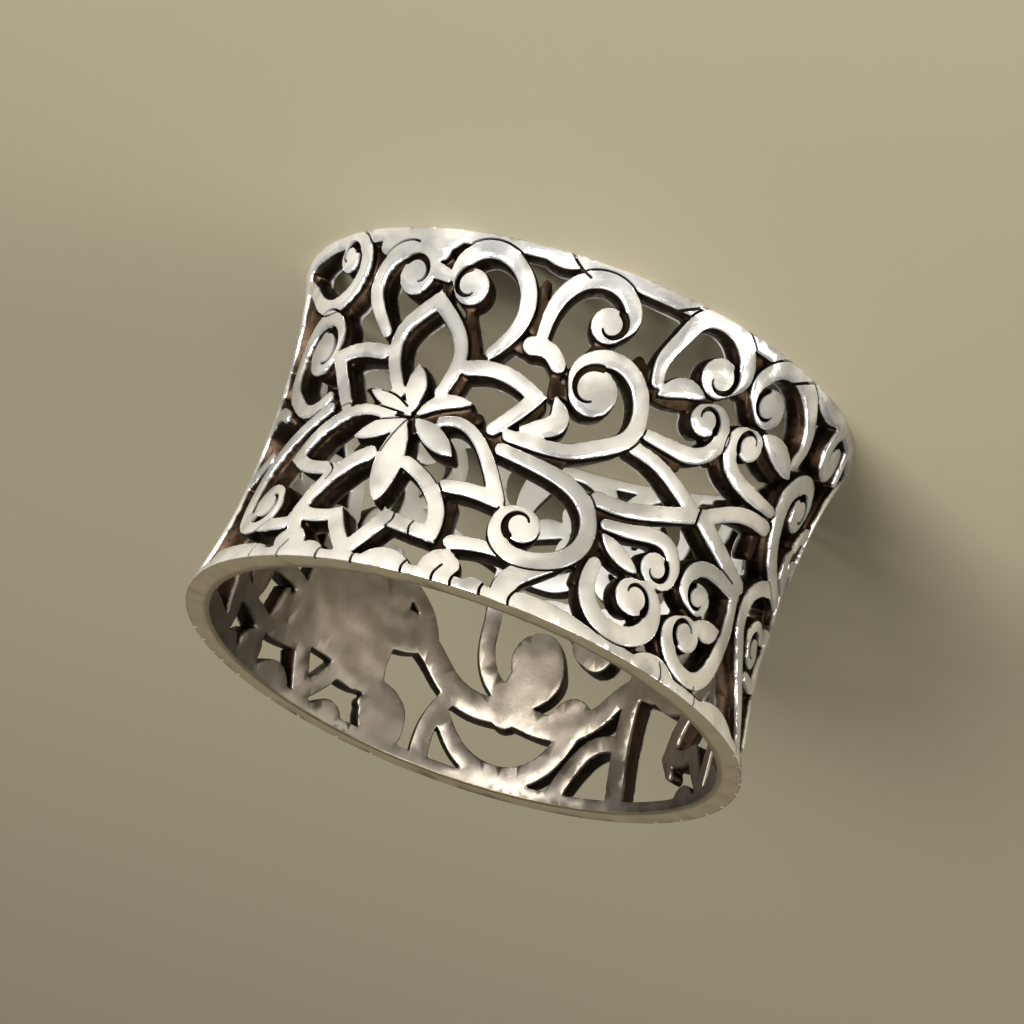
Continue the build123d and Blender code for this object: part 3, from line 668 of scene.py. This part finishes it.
def spool_ribbon_tree():
    """The tree that turns chains on the flat chart into solid ribbons on the waisted band."""
    tree = bpy.data.node_groups.new("ribbons_on_spool", "GeometryNodeTree")
    tree.interface.new_socket("Paths", in_out="INPUT", socket_type="NodeSocketGeometry")
    for name in ("Band Width", "End Room", "Chart Radius", "Face Rim Radius", "Face Waist",
                 "Foot Rim Radius", "Foot Waist", "Dome"):
        tree.interface.new_socket(name, in_out="INPUT", socket_type="NodeSocketFloat")
    tree.interface.new_socket("Section Cuts", in_out="INPUT", socket_type="NodeSocketInt")
    tree.interface.new_socket("Metal", in_out="INPUT", socket_type="NodeSocketMaterial")
    tree.interface.new_socket("Ribbons", in_out="OUTPUT", socket_type="NodeSocketGeometry")
    make = TreeMaker(tree)
    given = make.add("NodeGroupInput").outputs
    make.band_width = given["Band Width"]

    lines = make.add("GeometryNodeMeshToCurve")
    make.join(given["Paths"], lines.inputs["Mesh"])
    tangent = make.add("GeometryNodeInputTangent")
    place = make.add("GeometryNodeInputPosition")
    width = make.add("GeometryNodeInputNamedAttribute", data_type="FLOAT")
    width.inputs["Name"].default_value = "half_width"
    sideways = make.vector_math("CROSS_PRODUCT", tangent.outputs[0], (0.0, 0.0, 1.0))
    aside = make.vector_math("SCALE", sideways)
    make.join(width.outputs["Attribute"], aside.node.inputs["Scale"])
    rail = make.add("GeometryNodeCaptureAttribute")
    rail.capture_items.new("VECTOR", "Centre")
    rail.capture_items.new("VECTOR", "Aside")
    make.join(lines.outputs["Curve"], rail.inputs["Geometry"])
    make.join(place.outputs[0], rail.inputs["Centre"])
    make.join(aside, rail.inputs["Aside"])

    section = make.add("GeometryNodeCurvePrimitiveQuadrilateral")
    section.inputs["Width"].default_value = 2.0
    section.inputs["Height"].default_value = 2.0
    fine = make.add("GeometryNodeSubdivideCurve")
    make.join(given["Section Cuts"], fine.inputs["Cuts"])
    make.join(section.outputs["Curve"], fine.inputs["Curve"])
    profile = make.add("GeometryNodeCaptureAttribute")
    profile.capture_items.new("VECTOR", "Across")
    make.join(fine.outputs["Curve"], profile.inputs["Geometry"])
    make.join(make.add("GeometryNodeInputPosition").outputs[0], profile.inputs["Across"])

    sweep = make.add("GeometryNodeCurveToMesh")
    sweep.inputs["Fill Caps"].default_value = True
    make.join(rail.outputs["Geometry"], sweep.inputs["Curve"])
    make.join(profile.outputs["Geometry"], sweep.inputs["Profile Curve"])

    across = make.parts(profile.outputs["Across"])
    offset = make.vector_math("SCALE", rail.outputs["Aside"])
    make.join(across["X"], offset.node.inputs["Scale"])
    on_chart = make.parts(make.vector_math("ADD", rail.outputs["Centre"], offset))
    highest = make.math("SUBTRACT", make.band_width, given["End Room"])
    up = make.math("MAXIMUM", make.math("MINIMUM", on_chart["Y"], highest), given["End Room"])
    face = make.spool_radius(up, given["Face Rim Radius"], given["Face Waist"])
    foot = make.spool_radius(up, given["Foot Rim Radius"], given["Foot Waist"])
    off_crest = make.math("MULTIPLY", across["X"], across["X"])
    face = make.math("SUBTRACT", face, make.math("MULTIPLY", given["Dome"], off_crest))
    share = make.math("MULTIPLY", make.math("ADD", across["Y"], 1.0), 0.5)
    radius = make.math("ADD", foot, make.math("MULTIPLY", make.math("SUBTRACT", face, foot), share))
    angle = make.math("DIVIDE", on_chart["X"], given["Chart Radius"])
    x = make.math("MULTIPLY", make.math("MULTIPLY", radius, make.math("SINE", angle)), -1.0)
    y = make.math("MULTIPLY", make.math("MULTIPLY", radius, make.math("COSINE", angle)), -1.0)
    bend = make.add("GeometryNodeSetPosition")
    make.join(sweep.outputs["Mesh"], bend.inputs["Geometry"])
    make.join(make.whole(x, y, up), bend.inputs["Position"])

    real = make.add("GeometryNodeRealizeInstances")
    metal = make.add("GeometryNodeSetMaterial")
    out = make.add("NodeGroupOutput")
    make.join(bend.outputs["Geometry"], real.inputs["Geometry"])
    make.join(real.outputs["Geometry"], metal.inputs["Geometry"])
    make.join(given["Metal"], metal.inputs["Material"])
    make.join(metal.outputs["Geometry"], out.inputs["Ribbons"])
    return tree


def in_scene(name, data):
    """A new object with the data, linked to the scene."""
    thing = bpy.data.objects.new(name, data)
    bpy.context.scene.collection.objects.link(thing)
    return thing


def finished_mesh(thing):
    """A plain mesh of the object with its modifiers applied."""
    bpy.context.view_layer.update()
    depsgraph = bpy.context.evaluated_depsgraph_get()
    return bpy.data.meshes.new_from_object(thing.evaluated_get(depsgraph))


def solid_ribbons(name, ribbons, face, foot, dome=0.0, section_cuts=0, room=0.0):
    """The ribbons as one mesh between two spool surfaces, each a (rim radius, waist) pair."""
    path = path_object(name + "_paths", ribbons)
    modifier = path.modifiers.new("ribbons", "NODES")
    modifier.node_group = ribbon_tree
    values = {"Band Width": band_width, "End Room": room, "Chart Radius": chart_radius,
              "Face Rim Radius": face[0], "Face Waist": face[1], "Foot Rim Radius": foot[0],
              "Foot Waist": foot[1], "Dome": dome, "Section Cuts": section_cuts, "Metal": silver}
    for item in ribbon_tree.interface.items_tree:
        if item.in_out == "INPUT" and item.name in values:
            modifier[item.identifier] = values[item.name]
    mesh = finished_mesh(path)
    path.modifiers.clear()
    bpy.data.objects.remove(path)
    return mesh


def lathe(name, section, steps):
    """A closed section of (radius, height) points turned about the axis."""
    points, faces = [], []
    for turn in range(steps):
        angle = 2 * math.pi * turn / steps
        points += [(-r * math.sin(angle), -r * math.cos(angle), z) for r, z in section]
    size = len(section)
    for turn in range(steps):
        a, b = turn * size, (turn + 1) % steps * size
        faces += [(a + i, a + (i + 1) % size, b + (i + 1) % size, b + i) for i in range(size)]
    mesh = bpy.data.meshes.new(name)
    mesh.from_pydata(points, [], faces)
    return mesh


def spool(up, rim, waist):
    """The radius of a bowed surface at a height."""
    half = band_width / 2
    bow = (half * half + waist * waist) / (2 * waist)
    return rim - waist + bow - math.sqrt(bow * bow - (up - half) ** 2)


def rim_mesh(name, low):
    """A plain rim from the bore to the outer surface."""
    heights = (low, low + rim_band / 2, low + rim_band)
    outer = [(spool(up, *outer_surface), up) for up in heights]
    inner = [(spool(up, *bore_surface), up) for up in reversed(heights)]
    return lathe(name, outer + inner, rim_steps)


def as_one_casting(name, meshes, cuts):
    """The meshes fused, softened like a casting, thinned to the triangles it needs and cut."""
    parts = [in_scene(mesh.name, mesh) for mesh in meshes]
    rough = parts[0]
    with bpy.context.temp_override(active_object=rough, object=rough, selected_objects=parts,
                                   selected_editable_objects=parts):
        bpy.ops.object.join()
    fuse = rough.modifiers.new("fuse", "REMESH")
    fuse.mode, fuse.voxel_size, fuse.use_smooth_shade = "VOXEL", grain, True
    soften = rough.modifiers.new("soften", "SMOOTH")
    soften.factor, soften.iterations = soften_share, soften_rounds
    thin = rough.modifiers.new("thin", "DECIMATE")
    thin.ratio = 1.0
    bpy.context.view_layer.update()
    found = rough.evaluated_get(bpy.context.evaluated_depsgraph_get()).data
    triangles = sum(len(polygon.vertices) - 2 for polygon in found.polygons)
    thin.ratio = min(1.0, triangle_limit / triangles)
    cutters = [in_scene(cut.name, cut) for cut in cuts]
    for cutter in cutters:
        cutting = rough.modifiers.new(cutter.name, "BOOLEAN")
        cutting.operation, cutting.solver, cutting.object = "DIFFERENCE", "MANIFOLD", cutter
    mesh = finished_mesh(rough)
    bpy.data.objects.remove(rough)
    for cutter in cutters:
        bpy.data.objects.remove(cutter)
    mesh.set_sharp_from_angle(angle=crease)
    piece = in_scene(name, mesh)
    shade = piece.modifiers.new("shade", "WEIGHTED_NORMAL")
    shade.mode, shade.weight, shade.keep_sharp = "FACE_AREA", normal_weight, True
    piece.data = finished_mesh(piece)
    piece.modifiers.clear()
    piece.data.name = name
    return piece


# Colours of the metal: the worn tops, greyer towards the far rim as painted shade, the browner bore
# with painted light towards the far rim and a painted dark reflection by the near rim, a painted
# reflection on the near rim's end face, and the oxide in the recesses
grey_silver = (0.50, 0.49, 0.48, 1.0)
pale_silver = (0.95, 0.93, 0.89, 1.0)
stained_silver = (0.62, 0.56, 0.46, 1.0)
dull_bore = (0.18, 0.15, 0.115, 1.0)
light_bore = (0.33, 0.285, 0.22, 1.0)
bore_painted_dark_reflection = (0.14, 0.122, 0.098, 1.0)
bore_painted_light = (0.84, 0.82, 0.77, 1.0)
end_painted_reflection = (0.38, 0.32, 0.20, 1.0)
dark_oxide = (0.010, 0.007, 0.005, 1.0)
brown_oxide = (0.055, 0.034, 0.020, 1.0)


def silver_metal():
    """Polished silver with dark oxide where it lies below the outer surface and off the bore; the
    tops carry painted shade, the bore painted light and a painted dark reflection, and the near
    rim's end face a painted reflection.
    """
    material = bpy.data.materials.new("oxidised_silver_and_painted_light")
    material.use_nodes = True
    tree = material.node_tree
    make = TreeMaker(tree)
    make.band_width = band_width
    shader = tree.nodes["Principled BSDF"]
    coords = make.add("ShaderNodeTexCoord").outputs["Object"]
    x, y, z = make.parts(coords)
    from_axis = make.vector_math("LENGTH", make.whole(x, y, 0.0))
    outer = make.spool_radius(z, *outer_surface)
    inner = make.spool_radius(z, *bore_surface)
    below = make.math("DIVIDE", make.math("SUBTRACT", outer, from_axis), MM)
    above = make.math("DIVIDE", make.math("SUBTRACT", from_axis, inner), MM)

    def noise(scale, detail, distortion=0.0):
        node = make.add("ShaderNodeTexNoise")
        make.join(coords, node.inputs["Vector"])
        node.inputs["Scale"].default_value = scale
        node.inputs["Detail"].default_value = detail
        node.inputs["Distortion"].default_value = distortion
        return node.outputs["Fac"]

    def ramp(value, low, high):
        node = make.add("ShaderNodeMapRange", interpolation_type="SMOOTHSTEP")
        for found, name in ((value, "Value"), (low, "From Min"), (high, "From Max")):
            make.join(found, node.inputs[name])
        return node.outputs["Result"]

    def blend(share, low, high):
        node = make.add("ShaderNodeMix", data_type="RGBA")
        make.join(share, node.inputs["Factor"])
        for value, socket in ((low, node.inputs[6]), (high, node.inputs[7])):
            make.join(value, socket)
        return node.outputs[2]

    def bump(height, strength, distance):
        node = make.add("ShaderNodeBump")
        node.inputs["Strength"].default_value = strength
        node.inputs["Distance"].default_value = distance
        make.join(height, node.inputs["Height"])
        return node

    # Oxide lies in the recesses, with a ragged edge, and not on the bore or the end faces.
    # The depths are in millimetres.
    wander = make.math("MULTIPLY", make.math("SUBTRACT", noise(2600.0, 3.0), 0.5), 0.12)
    sunk = ramp(make.math("ADD", below, wander), 0.06, 0.15)
    off_bore = ramp(make.math("ADD", above, wander), 0.02, 0.16)
    to_end = make.math("MINIMUM", z, make.math("SUBTRACT", band_width, z))
    off_ends = ramp(to_end, 0.02 * MM, 0.06 * MM)
    oxide = make.math("MULTIPLY", make.math("MULTIPLY", sunk, off_bore), off_ends)

    # The tops are greyer in places and stained here and there; their greying towards the far rim is
    # painted shade.
    tone_and_painted_shade = make.math("ADD", noise(300.0, 3.0, 0.6), make.math("MULTIPLY", z, 0.10 / band_width))
    tops = blend(ramp(tone_and_painted_shade, 0.42, 0.66), grey_silver, pale_silver)
    tops = blend(ramp(noise(1500.0, 4.0), 0.62, 0.80), tops, stained_silver)
    tarnish = blend(noise(3000.0, 2.0), dark_oxide, brown_oxide)

    # The bore is dull and brown, with a painted dark reflection by the near rim and painted light
    # towards the far rim, where it is also made less metallic so that the painted light shows.
    in_bore = ramp(above, 0.30, 0.05)
    bore = blend(noise(1800.0, 4.0), dull_bore, light_bore)
    # Painted dark reflection: the bore by the near rim is painted darker.
    bore = blend(ramp(z, 9.0 * MM, 12.0 * MM), bore, bore_painted_dark_reflection)
    far_bore_painted_light = ramp(z, 7.5 * MM, 5.0 * MM)
    bore = blend(far_bore_painted_light, bore, bore_painted_light)
    face = blend(in_bore, tops, bore)
    # Painted reflection: the near rim's end face is painted warm beige, as a reflection of warm
    # surroundings.
    on_end = ramp(make.math("SUBTRACT", band_width, z), 0.05 * MM, 0.01 * MM)
    face = blend(on_end, face, end_painted_reflection)
    make.join(blend(oxide, face, tarnish), shader.inputs["Base Color"])

    polish = make.math("ADD", make.math("MULTIPLY", noise(1400.0, 3.0), 0.14), 0.13)
    duller = make.math("MULTIPLY", make.math("MAXIMUM", oxide, in_bore), 0.25)
    make.join(make.math("ADD", polish, duller), shader.inputs["Roughness"])
    # Less metal where the bore's light is painted, so that the painted light shows.
    painted_light_less_metal = make.math("MULTIPLY", make.math("MULTIPLY", far_bore_painted_light, in_bore), 0.55)
    make.join(make.math("SUBTRACT", make.math("ADD", duller, 0.75), painted_light_less_metal),
              shader.inputs["Metallic"])
    hand_worn = bump(noise(620.0, 1.0), 1.0, 0.16 * MM)
    grit = bump(noise(9000.0, 4.0), 0.35, 0.012 * MM)
    make.join(hand_worn.outputs["Normal"], grit.inputs["Normal"])
    make.join(grit.outputs["Normal"], shader.inputs["Normal"])
    return material


silver = silver_metal()
ribbon_tree = spool_ribbon_tree()

# The strokes and the web under them, as ribbons on the chart
rows = ornament()
plate_middle = (plate_low + plate_high) / 2
plate_line = [chart((around, plate_middle)) for around in (plate_from, plate_to)]
plate = smooth_route(plate_line, path_spacing)
plate_half = (plate_high - plate_low) / 200 * band_width
strokes = [row for row in rows if not isinstance(row, Tie)]
web_ribbons = [found for row in rows for found in ribbons_of(row, ledge)]
web_ribbons.append((plate, np.full(len(plate), plate_half)))
raised_ribbons = [found for row in strokes for found in ribbons_of(row, growth)] + tips_of(strokes)
scroll_rows = [row for row in strokes if isinstance(row, Scroll) and row.ball > small_eye]
slits = [slit_of(row) for row in scroll_rows]
notches = [parting_of(row) for row in rim_notches()]
grooves = [found for row in scroll_rows for found in grooves_of(row)]
grooves += [parting_of(row) for row in partings()]

web = solid_ribbons("web", web_ribbons, web_surface, bore_surface,
                    section_cuts=web_section_cuts, room=end_room)
raised = solid_ribbons("raised", raised_ribbons, outer_surface, root_surface,
                       dome, raised_section_cuts, end_room)
rims = [rim_mesh("far_rim", 0.0), rim_mesh("near_rim", band_width - rim_band)]
cuts = [solid_ribbons("slits", slits, above_surface, web_surface),
        solid_ribbons("notches", notches, above_surface, notch_floor, room=-past_ends)]
cuts += [solid_ribbons("grooves_%d" % i, found, above_surface, groove_floor, room=-past_ends)
         for i, found in enumerate(sets_apart(grooves))]
band = as_one_casting("silver_openwork_band", [web, raised] + rims, cuts)
band.data.materials.clear()
band.data.materials.append(silver)
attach(band, "root")
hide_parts("openwork_band")


floor_half = 0.5
floor_colour = (0.212, 0.187, 0.120, 1.0)


def floor_plane():
    """A plain pale floor, far larger than the view."""
    mesh = bpy.data.meshes.new("floor")
    corners = ((-1, -1), (1, -1), (1, 1), (-1, 1))
    mesh.from_pydata([(x * floor_half, y * floor_half, 0) for x, y in corners], [], [(0, 1, 2, 3)])
    material = bpy.data.materials.new("pale_floor")
    material.use_nodes = True
    shader = material.node_tree.nodes["Principled BSDF"]
    shader.inputs["Base Color"].default_value = floor_colour
    shader.inputs["Roughness"].default_value = 0.8
    mesh.materials.append(material)
    floor = in_scene("floor", mesh)


# The camera's place comes from fitting the rims' ellipses in the photo.
camera_elevation = math.radians(20.235)
camera_roll = math.radians(159.936)
camera_distance = 260.19 * MM
camera_lens = 260.18
camera_shift = (0.3219 * MM, -0.6493 * MM)


def photo_camera():
    """The camera at the photo's angle and distance, rolled as the photo is."""
    data = bpy.data.cameras.new("photo_camera")
    data.sensor_width = 36.0
    data.lens = camera_lens
    camera = in_scene("photo_camera", data)
    right = Vector((1, 0, 0))
    back = Vector((0, -math.cos(camera_elevation), math.sin(camera_elevation)))
    up = Vector((0, math.sin(camera_elevation), math.cos(camera_elevation)))
    c, s = math.cos(camera_roll), math.sin(camera_roll)
    across, upward = c * right - s * up, s * right + c * up
    middle = Vector((0, 0, band_width / 2))
    place = middle + camera_distance * back - camera_shift[0] * across - camera_shift[1] * upward
    turn = Matrix((across, upward, back)).transposed().to_4x4()
    camera.matrix_world = Matrix.Translation(place) @ turn
    bpy.context.scene.camera = camera


def soft_light(name, direction, distance, size, power, colour):
    """An area light aimed at the ring from a direction."""
    data = bpy.data.lights.new(name, "AREA")
    data.shape = "DISK"
    data.size = size
    data.energy = power
    data.color = colour
    light = in_scene(name, data)
    direction = Vector(direction).normalized()
    light.location = Vector((0, 0, band_width / 2)) + direction * distance
    light.rotation_mode = "QUATERNION"
    light.rotation_quaternion = direction.to_track_quat("Z", "Y")


def studio_world():
    """A faint even light from all around."""
    world = bpy.data.worlds.new("studio")
    bpy.context.scene.world = world
    world.use_nodes = True
    background = world.node_tree.nodes["Background"]
    background.inputs["Color"].default_value = (0.50, 0.46, 0.38, 1.0)
    background.inputs["Strength"].default_value = 0.10


# Name, direction, distance, size, power and colour
lights = (
    # The key comes low from the front, so that the band is bright and the floor stays muted.
    ("key", (0.60, -1.0, 0.56), 0.32, 0.18, 2.6, (0.98, 0.98, 1.0)),
    ("broad", (-0.95, -0.7, 0.34), 0.40, 0.34, 1.4, (1.0, 0.97, 0.92)),
    ("overhead", (0.10, -0.50, 1.0), 0.45, 0.30, 1.1, (1.0, 0.98, 0.94)),
    ("behind", (-0.1, 1.0, 0.38), 0.40, 0.24, 0.02, (1.0, 0.86, 0.62)),
)

floor_plane()
photo_camera()
for light in lights:
    soft_light(*light)
studio_world()
bpy.context.scene.view_settings.view_transform = "Standard"
bpy.context.scene.view_settings.look = "None"
